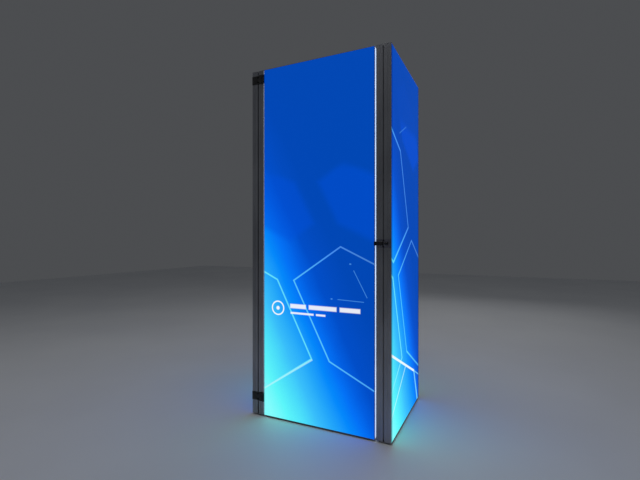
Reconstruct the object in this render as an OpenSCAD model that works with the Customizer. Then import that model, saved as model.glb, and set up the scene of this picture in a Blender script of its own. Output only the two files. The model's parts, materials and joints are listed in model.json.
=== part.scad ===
// Free-standing storage tower made from four backlit fabric lightbox panels.
// Two side panels and a back panel stand on glides and are tied together at the top and
// bottom, and a fourth panel is hinged between the side panels as a full-height door.
// The origin is on the floor, below the middle of the whole tower. The door faces -Y.

/* [Overall] */
// Width across the front, between the outer faces of the two side panels
overall_w = 1000; // [700:10:1500]
// Depth of the side panels, from front edge to rear edge
overall_d = 790; // [500:10:1200]
// Height of every panel
panel_h = 2400; // [1900:10:3000]
// Height of the glides that lift the panels off the floor
glide_h = 10; // [8:1:20]

/* [Panel frames] */
// Thickness of a panel
panel_t = 92; // [84:1:120]
// Depth of a frame bar, from the edge of the panel inwards
rail_d = 34; // [30:1:50]
// Wall of the extruded frame bars
wall = 2.2; // [1.8:0.1:2.6]
// Thickness of the fabric, and depth of the seat that it lies in
fabric_t = 1; // [0.6:0.1:1.4]
// Width of the channel that holds the silicone edge bead
channel_w = 3.5; // [3:0.1:4.5]
// Depth of the channel that holds the silicone edge bead
channel_d = 14; // [12:0.5:18]
// Room on each side of a bead in its channel, and at its tip
bead_gap = 0.25; // [0.1:0.05:0.4]

/* [Connector slot] */
// Middle of the connector slot, from the display face of the panel
slot_u = 48; // [40:1:52]
// Width of the mouth of the connector slot
slot_mouth = 8; // [7:0.5:9]
// Width of the pocket behind the mouth
slot_pocket_w = 14; // [12:0.5:16]
// Thickness of the lips beside the mouth
slot_lip = 2.5; // [2:0.1:3]
// Depth of the pocket behind the lips
slot_pocket_d = 6; // [5:0.5:7]
// Middle of the outer trim groove, from the display face
groove_outer_u = 21; // [19:1:26]
// Middle of the inner trim groove, from the display face
groove_inner_u = 71; // [66:1:74]
// Width of a trim groove
groove_w = 3; // [2:0.5:4]
// Depth of a trim groove
groove_d = 1; // [0.5:0.1:1.4]

/* [Door] */
// Gap between the door and the panel that carries its hinges
hinge_gap = 5; // [4:0.5:8]
// Gap between the door and the panel that carries its bolt
latch_gap = 11; // [8:0.5:15]
// Depth of the white hem that wraps round each side edge of the door
hem_d = 33; // [31:1:36]
// Bare metal above and below the hem
hem_end = 5; // [4.5:0.5:10]
// Width of the light channel under the hem
edge_channel_w = 24; // [18:1:26]
// Depth of the light channel under the hem
edge_channel_d = 10; // [8:0.5:12]
// Thickness of the opal strip that closes the light channel
opal_t = 3; // [2:0.5:4]

/* [Hinges] */
// Height of a hinge
hinge_h = 56; // [44:2:80]
// Middle of the upper hinge, below the top of the panels
upper_hinge_drop = 62; // [50:1:200]
// Middle of the lower hinge, above the bottom of the panels
lower_hinge_rise = 124; // [60:1:300]
// Width of the thin plate of a hinge
hinge_plate_w = 63; // [56:1:64]
// Thickness of the thin plate of a hinge
hinge_plate_t = 3.5; // [2.5:0.5:4]
// Thickness of the block beside the barrel
hinge_block_t = 11.5; // [10:0.5:13]
// Radius of the barrel
barrel_r = 6.5; // [5.5:0.5:7]
// Radius of the hinge pin
pin_r = 2.5; // [2:0.5:3]
// Thickness of the leaf on the door
leaf_t = 2.5; // [2.4:0.1:3.5]
// Running room round the hinge pin and round the bolt rod
running_gap = 0.05; // [0.02:0.01:0.1]

/* [Bolt] */
// Height of the bolt above the floor
bolt_z = 1206; // [900:1:1400]
// Height of the base plate
bolt_plate_h = 51; // [50:1:70]
// Thickness of the base plate
bolt_plate_t = 3; // [2:0.5:4]
// Height of the guide block and of the keeper
bolt_block_h = 24; // [18:1:26]
// Length of the guide block
bolt_block_l = 39; // [30:1:42]
// Radius of the rod
rod_r = 4; // [3:0.5:5]
// Radius of the knob
knob_r = 10; // [8:0.5:11]
// Length of the knob
knob_l = 13; // [10:1:14]
// Travel of the rod
bolt_travel = 14; // [12:1:14]

/* [Fixings] */
// Thickness of the tie bars and link plates
plate_t = 3; // [2:0.5:4]
// Radius of the fixing screws
screw_r = 2.4; // [2:0.1:3]
// Radius of the screw heads
head_r = 4.5; // [4:0.1:5]
// Height of the pan heads
head_h = 2.6; // [2:0.1:3]
// Radius of the holes for joining a neighbouring wall
link_hole_r = 3.25; // [2.5:0.25:3.5]
// Distance between the two joining holes in a rear edge
link_hole_gap = 2000; // [1200:50:2200]
// Radius of the glides
glide_r = 16; // [10:1:20]

/* [Lighting] */
// Width of an LED bar
led_w = 20; // [14:1:24]
// Thickness of an LED bar
led_t = 8; // [6:1:12]
// Distance between the lenses on an LED bar
lens_pitch = 160; // [80:10:400]
// Length of a power supply
driver_l = 220; // [150:10:300]
// Width of a power supply
driver_w = 40; // [30:1:60]
// Height of a power supply
driver_h = 32; // [24:1:45]
// Radius of the leads inside a panel
lead_r = 2.5; // [2:0.5:3]

/* [Hidden] */
$fn = 48;
eps = 1;                      // how far a cutting shape runs past what it cuts
seat_gap = 0.3;               // room between parts that slide together when assembled
keeper_gap = 1.5;             // room round the bolt rod in its keeper, for a door that has sagged
strip_gap = 0.2;              // room beside the opal strip, and under a lead
nut_t = 5;
nut_w = slot_pocket_w - 2 * seat_gap;
csk_h = 2.2;
edge_round = 1;               // small chamfers on the rod and the knob

hardware_y = 15;              // from the front plane to the middle of the bolt rod
proud = hardware_y + knob_r;  // how far the hardware stands in front of the panels
x_side = overall_w / 2;
y_front = (proud - overall_d) / 2;
y_rear = y_front + overall_d;
z_top = glide_h + panel_h;
slot_x = x_side - slot_u;
inner_w = overall_w - 2 * panel_t;
door_w = inner_w - hinge_gap - latch_gap;
door_x = -inner_w / 2 + hinge_gap;

slot_d = slot_lip + slot_pocket_d;
chamber_v = slot_d + wall;
door_chamber_v = channel_d + wall;
skin = fabric_t + wall;
bead_w = channel_w - 2 * bead_gap;
bead_l = channel_d - fabric_t - bead_gap;
sheet_in = wall + bead_gap;
edge_channel_u = (hem_d + fabric_t - edge_channel_w) / 2;

bracket_room = 1;             // between a corner bracket and the ends of its chamber
bracket_v = max(chamber_v, door_chamber_v) + bracket_room;
bracket_t = rail_d - wall - bracket_v - bracket_room;
bracket_l = 100;
bracket_hole_r = 3;
bracket_hole_in = 30;

led_end = 1;
led_u = (panel_t - led_w) / 2;
lens_h = 3;
lens_r = 6;
lens_top_r = 4;
tape_w = 12;
tape_t = 1.5;
driver_foot_t = 2;
driver_foot_w = 18;
driver_foot_l = 12;
driver_y = (panel_t - driver_w) / 2;
lead_y = led_u + 4;
clip_l = 8;
clip_wall = 1.2;

hinge_axis_x = door_x - leaf_t;
turn_gap = 1;                 // room for the barrel to turn beside the door and the block
hinge_axis_y = y_front - barrel_r - turn_gap;
hinge_block_x = hinge_axis_x - barrel_r - turn_gap;
knuckle_gap = 0.3;
knuckle_h = (hinge_h - 2 * knuckle_gap) / 3;
upper_hinge_z = z_top - upper_hinge_drop;
lower_hinge_z = glide_h + lower_hinge_rise;
hinge_screw_dz = 17;
leaf_d = slot_u + 14;          // how far the leaf reaches back along the door's edge
pin_head_h = 2;
pin_head_r = pin_r + 1.5;
pin_end = 1;                  // the pin's tail below the lowest knuckle

rod_y = y_front - hardware_y;
bolt_block_d = 20;
bolt_block_round = 3;
keeper_x = door_x + door_w;
keeper_leg_t = 3;
keeper_out = 2;               // the block of the keeper starts this far outside the door
keeper_w = 11;
bolt_plate_x = keeper_x + latch_gap + 4;
bolt_plate_in = 2;            // from the base plate to the corner of the side panel
bolt_block_x = bolt_plate_x + 1;
rod_tip_x = bolt_block_x + 1;
knob_x = bolt_block_x + bolt_block_l + bolt_travel + 1;
bolt_screw_dz = 19;
keeper_screw_dz = 7;
keeper_d = slot_u + 12;
keeper_eye = rod_r + keeper_gap;   // half the side of the square eye for the rod

tie_y = y_front + panel_t + 3;
tie_w = 40;
tie_drop = 30;
tie_over = 72;                // how far a tie bar laps over each side panel
tie_screw_dy = 11;
tie_end_gap = 1;              // between a hanging leg and the side panels' liners
bumper_r = 8;
bumper_x = inner_w / 2 - 80;
link_l = 140;
link_w = 40;
link_over = 72;
link_y = y_rear - slot_u;
link_screw_in = 20;

glide_in = 40;                // from the front edge to the first glide
side_glide_ys = [
    y_front + glide_in, (y_front + y_rear) / 2, link_y - link_w / 2 - glide_r - 8
];
back_glide_xs = [-inner_w / 4, inner_w / 4];
glide_stem_r = slot_mouth / 2 - seat_gap;

inlet_l = 70;
inlet_d = 32;
inlet_h = 28;
inlet_x = inner_w / 4;
gland_r = 9;
gland_l = 18;
gland_bore_r = 4;
gland_bore_l = gland_l + 12;

BLACK = "#17181a";
ALU = "#3a3b3f";
BLUE = "#0052c8";
WHITE = "#e8ecf0";

// ---- Where each panel stands ----
// A panel is drawn with its display face at y = 0, its thickness along +Y, its width from
// x = 0 and its bottom edge at z = 0. Each module below puts such a panel in its place.
module on_left() { translate([-x_side, y_rear, glide_h]) rotate([0, 0, -90]) children(); }
module on_right() { translate([x_side, y_front, glide_h]) rotate([0, 0, 90]) children(); }
module on_back() { translate([inner_w / 2, y_rear, glide_h]) rotate([0, 0, 180]) children(); }
module on_door() { translate([door_x, y_front, glide_h]) children(); }

// ---- Sections of the extruded bars: x runs in from the edge, y from the display face ----
module slot_section() {
    translate([-eps, slot_u - slot_mouth / 2]) square([eps + slot_d, slot_mouth]);
    translate([slot_lip, slot_u - slot_pocket_w / 2]) square([slot_pocket_d, slot_pocket_w]);
}

module trim_groove(u) {
    translate([-eps, u - groove_w / 2]) square([eps + groove_d, groove_w]);
}

module front_seat_section() {
    translate([wall, -eps]) square([rail_d, eps + fabric_t]);
    translate([wall, -eps]) square([channel_w, eps + channel_d]);
}

module back_seat_section() {
    translate([0, panel_t]) mirror([0, 1]) front_seat_section();
}

module outer_chamber(from_u, to_u, deep) {
    translate([wall, from_u]) square([deep - wall + eps, to_u - from_u]);
}

module frame_section() {
    difference() {
        square([rail_d, panel_t]);
        front_seat_section();
        back_seat_section();
        slot_section();
        trim_groove(groove_outer_u);
        trim_groove(groove_inner_u);
        translate([chamber_v, skin])
            square([rail_d - wall - chamber_v, panel_t - 2 * skin]);
        outer_chamber(channel_d + wall, slot_u - slot_pocket_w / 2 - wall, chamber_v);
        outer_chamber(
            slot_u + slot_pocket_w / 2 + wall, panel_t - channel_d - wall, chamber_v
        );
    }
}

// The door's upright bars take the graphic round their outer edge: a hem seat on the side,
// a light channel under it, and a bead channel that opens sideways behind it.
module door_stile_section() {
    difference() {
        square([rail_d, panel_t]);
        translate([-eps, -eps]) square([rail_d + 2 * eps, eps + fabric_t]);
        translate([-eps, -eps]) square([eps + fabric_t, eps + hem_d + channel_w]);
        translate([0, hem_d]) square([channel_d, channel_w]);
        translate([0, edge_channel_u]) square([edge_channel_d, edge_channel_w]);
        back_seat_section();
        slot_section();
        trim_groove(groove_inner_u);
        translate([door_chamber_v, skin])
            square([rail_d - wall - door_chamber_v, panel_t - 2 * skin]);
        outer_chamber(
            slot_u + slot_pocket_w / 2 + wall, panel_t - channel_d - wall, door_chamber_v
        );
    }
}

// ---- Mitred bars of one panel ----
module mitre(points) {
    translate([0, panel_t, 0]) rotate([90, 0, 0]) linear_extrude(panel_t) polygon(points);
}

module first_stile() {
    intersection() {
        linear_extrude(panel_h) children();
        mitre([[0, 0], [rail_d, rail_d], [rail_d, panel_h - rail_d], [0, panel_h]]);
    }
}

module last_stile(w) {
    translate([w, 0, 0]) mirror([1, 0, 0]) first_stile() children();
}

module bottom_rail(w) {
    intersection() {
        translate([w, 0, 0]) rotate([0, -90, 0]) linear_extrude(w) frame_section();
        mitre([[0, 0], [w, 0], [w - rail_d, rail_d], [rail_d, rail_d]]);
    }
}

module top_rail(w) {
    translate([0, 0, panel_h]) mirror([0, 0, 1]) bottom_rail(w);
}

// ---- Fabric: a flat sheet in its seat, with a silicone bead down in the channel ----
module bead_ring(w) {
    difference() {
        translate([sheet_in, fabric_t, sheet_in])
            cube([w - 2 * sheet_in, bead_l, panel_h - 2 * sheet_in]);
        translate([sheet_in + bead_w, 0, sheet_in + bead_w])
            cube([
                w - 2 * (sheet_in + bead_w), channel_d + eps,
                panel_h - 2 * (sheet_in + bead_w)
            ]);
    }
}

module sheet(w) {
    union() {
        translate([sheet_in, 0, sheet_in])
            cube([w - 2 * sheet_in, fabric_t, panel_h - 2 * sheet_in]);
        bead_ring(w);
    }
}

module liner(w) {
    color(WHITE) translate([0, panel_t, 0]) mirror([0, 1, 0]) sheet(w);
}

// The door's graphic has its hem on the two side edges and beads along top and bottom.
module hem() {
    union() {
        translate([0, 0, hem_end])
            cube([fabric_t, hem_d + channel_w - bead_gap, panel_h - 2 * hem_end]);
        translate([0, hem_d + bead_gap, rail_d])
            cube([channel_d - bead_gap, bead_w, panel_h - 2 * rail_d]);
    }
}

module long_bead() {
    translate([rail_d, 0, sheet_in]) cube([door_w - 2 * rail_d, channel_d - bead_gap, bead_w]);
}

module wrapped_sheet() {
    union() {
        translate([0, 0, sheet_in]) cube([door_w, fabric_t, panel_h - 2 * sheet_in]);
        long_bead();
        translate([0, 0, panel_h]) mirror([0, 0, 1]) long_bead();
        hem();
        translate([door_w, 0, 0]) mirror([1, 0, 0]) hem();
    }
}

// ---- What each panel holds inside ----
module led_bar() {
    lens_n = floor((panel_h - 2 * rail_d - lens_pitch) / lens_pitch);
    first = (panel_h - (lens_n - 1) * lens_pitch) / 2;
    translate([rail_d, led_u, rail_d + led_end])
        cube([led_t, led_w, panel_h - 2 * (rail_d + led_end)]);
    for (i = [0 : lens_n - 1])
        translate([rail_d + led_t, panel_t / 2, first + i * lens_pitch])
            rotate([0, 90, 0]) cylinder(h = lens_h, r1 = lens_r, r2 = lens_top_r);
}

module led_bars(w) {
    color(WHITE) {
        union() { led_bar(); }
        translate([w, 0, 0]) mirror([1, 0, 0]) union() { led_bar(); }
    }
}

module edge_tape() {
    translate([
        edge_channel_d - tape_t, edge_channel_u + (edge_channel_w - tape_w) / 2, rail_d
    ])
        cube([tape_t, tape_w, panel_h - 2 * rail_d]);
}

module opal_strip() {
    translate([fabric_t, edge_channel_u + strip_gap, hem_end])
        cube([opal_t, edge_channel_w - 2 * strip_gap, panel_h - 2 * hem_end]);
}

module corner_bracket() {
    arm = bracket_v + bracket_t;
    difference() {
        translate([0, panel_t - skin - seat_gap, 0]) rotate([90, 0, 0])
            linear_extrude(panel_t - 2 * (skin + seat_gap))
                polygon([
                    [bracket_v, bracket_v], [bracket_l, bracket_v], [bracket_l, arm],
                    [arm, arm], [arm, bracket_l], [bracket_v, bracket_l]
                ]);
        for (u = [panel_t / 3, 2 * panel_t / 3]) {
            translate([bracket_l - bracket_hole_in, u, 0]) cylinder(h = rail_d, r = bracket_hole_r);
            translate([0, u, bracket_l - bracket_hole_in]) rotate([0, 90, 0])
                cylinder(h = rail_d, r = bracket_hole_r);
        }
    }
}

module bottom_brackets(w) {
    corner_bracket();
    translate([w, 0, 0]) mirror([1, 0, 0]) corner_bracket();
}

module corner_brackets(w) {
    color(ALU) {
        bottom_brackets(w);
        translate([0, 0, panel_h]) mirror([0, 0, 1]) bottom_brackets(w);
    }
}

module driver(w) {
    foot_y = driver_y + driver_w - driver_foot_w;
    hole_out = (driver_l + driver_foot_l) / 2;
    color(WHITE) union() {
        translate([(w - driver_l) / 2, driver_y, rail_d]) cube([driver_l, driver_w, driver_h]);
        difference() {
            translate([(w - driver_l) / 2 - driver_foot_l, foot_y, rail_d])
                cube([driver_l + 2 * driver_foot_l, driver_foot_w, driver_foot_t]);
            for (side = [-1, 1])
                translate([w / 2 + side * hole_out, foot_y + driver_foot_w / 2, rail_d - eps])
                    cylinder(h = driver_foot_t + 2 * eps, r = screw_r);
        }
    }
}

// A lead lies on the bottom bar, from the power supply to an LED bar, held by two clips.
module lead(w) {
    long = (w - driver_l) / 2 - rail_d - led_t;
    clip_w = 2 * (lead_r + clip_wall);
    union() {
        translate([rail_d + led_t, lead_y, rail_d + lead_r + strip_gap]) rotate([0, 90, 0])
            cylinder(h = long, r = lead_r);
        for (share = [0.3, 0.7])
            translate([rail_d + led_t + share * long, lead_y - clip_w / 2, rail_d])
                cube([clip_l, clip_w, 2 * lead_r + strip_gap + clip_wall]);
    }
}

module harness(w) {
    color(BLACK) {
        lead(w);
        translate([w, 0, 0]) mirror([1, 0, 0]) lead(w);
    }
}

// ---- Screws: the surface they clamp to is at z = 0, and the head is on the +Z side ----
module t_nut() {
    translate([-nut_w / 2, -nut_w / 2, -slot_lip - nut_t]) cube([nut_w, nut_w, nut_t]);
}

module pan_screw(clamp) {
    union() {
        t_nut();
        translate([0, 0, -slot_lip - nut_t]) cylinder(h = slot_lip + nut_t + clamp, r = screw_r);
        translate([0, 0, clamp]) cylinder(h = head_h, r = head_r);
    }
}

module flush_screw(clamp) {
    union() {
        t_nut();
        translate([0, 0, -slot_lip - nut_t]) cylinder(h = slot_lip + nut_t + clamp, r = screw_r);
        translate([0, 0, clamp - csk_h]) cylinder(h = csk_h, r1 = screw_r, r2 = head_r);
    }
}

module screw_hole(clamp) {
    translate([0, 0, -eps]) cylinder(h = clamp + 2 * eps, r = screw_r + seat_gap);
}

module flush_hole(clamp) {
    screw_hole(clamp);
    translate([0, 0, clamp - csk_h])
        cylinder(h = csk_h, r1 = screw_r + seat_gap, r2 = head_r + seat_gap);
}

// ---- Where the screws go ----
module at_tie_screws() {
    for (x = [-slot_x, slot_x], dy = [-tie_screw_dy, tie_screw_dy])
        translate([x, tie_y + tie_w / 2 + dy, 0]) children();
}

module at_link_screws() {
    for (side = [-1, 1]) {
        for (dy = [-tie_screw_dy, tie_screw_dy])
            translate([side * slot_x, link_y + dy, 0]) children();
        for (dx = [0, 2 * tie_screw_dy])
            translate([side * (inner_w / 2 - link_screw_in - dx), link_y, 0]) children();
    }
}

module at_hinge_screws(z) {
    for (dz = [-hinge_screw_dz, hinge_screw_dz])
        translate([-slot_x, y_front, z + dz]) rotate([90, 0, 0]) children();
}

module at_leaf_screws(z) {
    for (dz = [-hinge_screw_dz, hinge_screw_dz])
        translate([door_x, y_front + slot_u, z + dz]) rotate([0, -90, 0]) children();
}

module at_bolt_screws() {
    for (dz = [-bolt_screw_dz, bolt_screw_dz])
        translate([slot_x, y_front, bolt_z + dz]) rotate([90, 0, 0]) children();
}

module at_keeper_screws() {
    for (dz = [-keeper_screw_dz, keeper_screw_dz])
        translate([keeper_x, y_front + slot_u, bolt_z + dz]) rotate([0, 90, 0]) children();
}

module on_top() { translate([0, 0, z_top]) children(); }
module underneath() { translate([0, 0, glide_h]) mirror([0, 0, 1]) children(); }

// ---- Glides ----
module glide() {
    union() {
        cylinder(h = glide_h, r = glide_r);
        cylinder(h = glide_h + slot_d - 1, r = glide_stem_r);
    }
}

module side_glides(x) {
    color(BLACK) for (y = side_glide_ys) translate([x, y, 0]) glide();
}

module back_glides() {
    color(BLACK) for (x = back_glide_xs) translate([x, link_y, 0]) glide();
}

// ---- Ties between the panels, drawn on a surface at z = 0 ----
module link_plate() {
    translate([inner_w / 2 + link_over - link_l, link_y - link_w / 2, 0])
        cube([link_l, link_w, plate_t]);
}

module link_plates() {
    difference() {
        union() {
            link_plate();
            mirror([1, 0, 0]) link_plate();
        }
        at_link_screws() screw_hole(plate_t);
    }
}

module rear_link_plates() {
    color(ALU) {
        on_top() link_plates();
        underneath() link_plates();
    }
}

// An angle: the flat leg lies on the side panels, the other hangs behind the door.
module tie_angle() {
    union() {
        difference() {
            translate([-inner_w / 2 - tie_over, tie_y, 0])
                cube([inner_w + 2 * tie_over, tie_w, plate_t]);
            at_tie_screws() screw_hole(plate_t);
        }
        translate([-inner_w / 2 + tie_end_gap, tie_y, -tie_drop])
            cube([inner_w - 2 * tie_end_gap, plate_t, tie_drop + plate_t]);
    }
}

module header_tie() { color(ALU) on_top() tie_angle(); }
module threshold() { color(ALU) underneath() tie_angle(); }

module door_bumpers() {
    thick = tie_y - y_front - panel_t - seat_gap;
    color(BLACK)
        for (x = [-bumper_x, bumper_x], z = [glide_h + tie_drop / 2, z_top - tie_drop / 2])
            translate([x, tie_y, z]) rotate([90, 0, 0]) cylinder(h = thick, r = bumper_r);
}

// ---- Hinges ----
module knuckle(index, bore) {
    z0 = -hinge_h / 2 + index * (knuckle_h + knuckle_gap);
    translate([hinge_axis_x, hinge_axis_y, z0]) difference() {
        children();
        translate([0, 0, -eps]) cylinder(h = knuckle_h + 2 * eps, r = bore);
    }
}

module bracket_knuckle(index) {
    web_x = hinge_block_x - hinge_axis_x;
    web_y = y_front - hinge_block_t - hinge_axis_y;
    knuckle(index, pin_r + running_gap) union() {
        cylinder(h = knuckle_h, r = barrel_r);
        translate([web_x, web_y, 0])
            cube([-web_x, hinge_block_t - hinge_plate_t, knuckle_h]);
    }
}

module hinge_bracket(z) {
    color(BLACK) difference() {
        translate([0, 0, z]) union() {
            translate([-x_side, y_front - hinge_plate_t, -hinge_h / 2])
                cube([hinge_plate_w + eps, hinge_plate_t, hinge_h]);
            translate([-x_side + hinge_plate_w, y_front - hinge_block_t, -hinge_h / 2])
                cube([hinge_block_x + x_side - hinge_plate_w, hinge_block_t, hinge_h]);
            bracket_knuckle(0);
            bracket_knuckle(2);
        }
        at_hinge_screws(z) screw_hole(hinge_plate_t);
    }
}

module hinge_leaf(z) {
    color(BLACK) difference() {
        translate([0, 0, z]) union() {
            knuckle(1, pin_r + running_gap) union() {
                cylinder(h = knuckle_h, r = barrel_r);
                cube([leaf_t, y_front - hinge_axis_y + leaf_d / 2, knuckle_h]);
            }
            translate([hinge_axis_x, y_front + turn_gap, -hinge_h / 2])
                cube([leaf_t, leaf_d - turn_gap, hinge_h]);
        }
        at_leaf_screws(z) flush_hole(leaf_t);
    }
}

module hinge_pin(z) {
    color("#8c8f93") translate([hinge_axis_x, hinge_axis_y, z]) union() {
        translate([0, 0, -hinge_h / 2 - pin_end]) cylinder(h = hinge_h + pin_end, r = pin_r);
        translate([0, 0, hinge_h / 2]) cylinder(h = pin_head_h, r = pin_head_r);
    }
}

// ---- Sliding bolt ----
// Rounded block section along X, centred on the rod.
module bolt_block_shape(long) {
    rotate([0, 90, 0]) linear_extrude(long) union() {
        square([bolt_block_h - 2 * bolt_block_round, bolt_block_d], center = true);
        square([bolt_block_h, bolt_block_d - 2 * bolt_block_round], center = true);
        for (a = [-1, 1], b = [-1, 1])
            translate([
                a * (bolt_block_h / 2 - bolt_block_round),
                b * (bolt_block_d / 2 - bolt_block_round)
            ])
                circle(r = bolt_block_round);
    }
}

module bolt_housing() {
    color(BLACK) difference() {
        union() {
            translate([bolt_plate_x, y_front - bolt_plate_t, bolt_z - bolt_plate_h / 2])
                cube([x_side - bolt_plate_in - bolt_plate_x, bolt_plate_t, bolt_plate_h]);
            translate([bolt_block_x, rod_y, bolt_z]) bolt_block_shape(bolt_block_l);
            translate([bolt_block_x, rod_y, bolt_z - bolt_block_h / 2])
                cube([bolt_block_l, hardware_y - bolt_plate_t / 2, bolt_block_h]);
        }
        translate([bolt_block_x - eps, rod_y, bolt_z]) rotate([0, 90, 0])
            cylinder(h = bolt_block_l + 2 * eps, r = rod_r + running_gap);
        at_bolt_screws() screw_hole(bolt_plate_t);
    }
}

module bolt_rod() {
    color("#2c2d30") union() {
        translate([rod_tip_x, rod_y, bolt_z]) rotate([0, 90, 0]) union() {
            cylinder(h = edge_round, r1 = rod_r - edge_round, r2 = rod_r);
            translate([0, 0, edge_round]) cylinder(h = knob_x - rod_tip_x, r = rod_r);
        }
        translate([knob_x, rod_y, bolt_z]) rotate([0, 90, 0]) union() {
            cylinder(h = edge_round, r1 = knob_r - edge_round, r2 = knob_r);
            translate([0, 0, edge_round]) cylinder(h = knob_l - 2 * edge_round, r = knob_r);
            translate([0, 0, knob_l - edge_round])
                cylinder(h = edge_round, r1 = knob_r, r2 = knob_r - edge_round);
        }
    }
}

module bolt_keeper() {
    color(BLACK) difference() {
        union() {
            translate([keeper_x + keeper_out, rod_y, bolt_z]) bolt_block_shape(keeper_w);
            translate([keeper_x, rod_y, bolt_z - bolt_block_h / 2])
                cube([keeper_leg_t, keeper_d + hardware_y, bolt_block_h]);
        }
        translate([keeper_x - eps, rod_y - keeper_eye, bolt_z - keeper_eye])
            cube([keeper_out + keeper_w + 2 * eps, 2 * keeper_eye, 2 * keeper_eye]);
        at_keeper_screws() screw_hole(keeper_leg_t);
    }
}

module carcass_screws() {
    color(BLACK) {
        on_top() at_tie_screws() pan_screw(plate_t);
        underneath() at_tie_screws() pan_screw(plate_t);
        on_top() at_link_screws() pan_screw(plate_t);
        underneath() at_link_screws() pan_screw(plate_t);
        at_hinge_screws(upper_hinge_z) pan_screw(hinge_plate_t);
        at_hinge_screws(lower_hinge_z) pan_screw(hinge_plate_t);
        at_bolt_screws() pan_screw(bolt_plate_t);
    }
}

module door_screws() {
    color(BLACK) {
        at_leaf_screws(upper_hinge_z) flush_screw(leaf_t);
        at_leaf_screws(lower_hinge_z) flush_screw(leaf_t);
        at_keeper_screws() pan_screw(keeper_leg_t);
    }
}

// ---- Supply box in the corner of the threshold, with a gland for the mains lead ----
module power_inlet() {
    box_y = tie_y + plate_t;
    gland_y = box_y + inlet_d / 2;
    gland_z = glide_h + inlet_h / 2;
    color(BLACK) difference() {
        union() {
            translate([inlet_x, box_y, glide_h]) cube([inlet_l, inlet_d, inlet_h]);
            translate([inlet_x + inlet_l, gland_y, gland_z]) rotate([0, 90, 0])
                cylinder(h = gland_l, r = gland_r);
        }
        translate([inlet_x + inlet_l + gland_l + eps, gland_y, gland_z]) rotate([0, -90, 0])
            cylinder(h = gland_bore_l + eps, r = gland_bore_r);
    }
}

// A rear upright with the two holes that join the tower to a neighbouring wall.
module rear_link_holes() {
    for (dz = [-link_hole_gap / 2, link_hole_gap / 2])
        translate([-eps, slot_u, panel_h / 2 + dz]) rotate([0, 90, 0])
            cylinder(h = chamber_v + 2 * eps, r = link_hole_r);
}

color(ALU) on_left() last_stile(overall_d) frame_section();  // left_front_stile
color(ALU) on_left() difference() {  // left_rear_stile
        first_stile() frame_section();
        rear_link_holes();
    }
color(ALU) on_left() top_rail(overall_d);  // left_top_rail
color(ALU) on_left() bottom_rail(overall_d);  // left_bottom_rail
color(BLUE) on_left() sheet(overall_d);  // left_graphic
on_left() liner(overall_d);  // left_liner
on_left() led_bars(overall_d);  // left_led_bars
on_left() corner_brackets(overall_d);  // left_corner_brackets
on_left() driver(overall_d);  // left_driver
on_left() harness(overall_d);  // left_harness

color(ALU) on_right() first_stile() frame_section();  // right_front_stile
color(ALU) on_right() difference() {  // right_rear_stile
        last_stile(overall_d) frame_section();
        translate([overall_d, 0, 0]) mirror([1, 0, 0]) rear_link_holes();
    }
color(ALU) on_right() top_rail(overall_d);  // right_top_rail
color(ALU) on_right() bottom_rail(overall_d);  // right_bottom_rail
color(BLUE) on_right() sheet(overall_d);  // right_graphic
on_right() liner(overall_d);  // right_liner
on_right() led_bars(overall_d);  // right_led_bars
on_right() corner_brackets(overall_d);  // right_corner_brackets
on_right() driver(overall_d);  // right_driver
on_right() harness(overall_d);  // right_harness

color(ALU) on_back() last_stile(inner_w) frame_section();  // back_left_stile
color(ALU) on_back() first_stile() frame_section();  // back_right_stile
color(ALU) on_back() top_rail(inner_w);  // back_top_rail
color(ALU) on_back() bottom_rail(inner_w);  // back_bottom_rail
color(BLUE) on_back() sheet(inner_w);  // back_graphic
on_back() liner(inner_w);  // back_liner
on_back() led_bars(inner_w);  // back_led_bars
on_back() corner_brackets(inner_w);  // back_corner_brackets
on_back() driver(inner_w);  // back_driver
on_back() harness(inner_w);  // back_harness

color(ALU) on_door() first_stile() door_stile_section();  // door_hinge_stile
color(ALU) on_door() last_stile(door_w) door_stile_section();  // door_latch_stile
color(ALU) on_door() top_rail(door_w);  // door_top_rail
color(ALU) on_door() bottom_rail(door_w);  // door_bottom_rail
color(BLUE) on_door() wrapped_sheet();  // door_graphic
on_door() liner(door_w);  // door_liner
on_door() {  // door_led_bars
        led_bars(door_w);
        color(WHITE) edge_tape();
        color(WHITE) translate([door_w, 0, 0]) mirror([1, 0, 0]) edge_tape();
    }
on_door() corner_brackets(door_w);  // door_corner_brackets
on_door() driver(door_w);  // door_driver
on_door() harness(door_w);  // door_harness
color(WHITE) on_door() {  // door_edge_diffusers
        opal_strip();
        translate([door_w, 0, 0]) mirror([1, 0, 0]) opal_strip();
    }

side_glides(-slot_x);  // left_glides
side_glides(slot_x);  // right_glides
back_glides();
rear_link_plates();
header_tie();
threshold();
door_bumpers();
hinge_bracket(upper_hinge_z);  // upper_hinge_bracket
hinge_leaf(upper_hinge_z);  // upper_hinge_leaf
hinge_pin(upper_hinge_z);  // upper_hinge_pin
hinge_bracket(lower_hinge_z);  // lower_hinge_bracket
hinge_leaf(lower_hinge_z);  // lower_hinge_leaf
hinge_pin(lower_hinge_z);  // lower_hinge_pin
bolt_housing();
bolt_rod();
bolt_keeper();
carcass_screws();
door_screws();
power_inlet();
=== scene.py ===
# %% [markdown]
# # A backlit fabric tower with a door
# Four lightbox wall panels make a square tower, and the front one is hinged as a door. The
# metal parts come from the CAD frame. What Blender adds is what CAD is poor at: the stretched
# cloth with its print and its glow, the hardware's softened edges and sockets, and a finish
# for every piece. The frame is loaded first. Nothing that is added may make the tower bigger
# than it is.

# %% Load the frame
import json
import math

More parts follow.
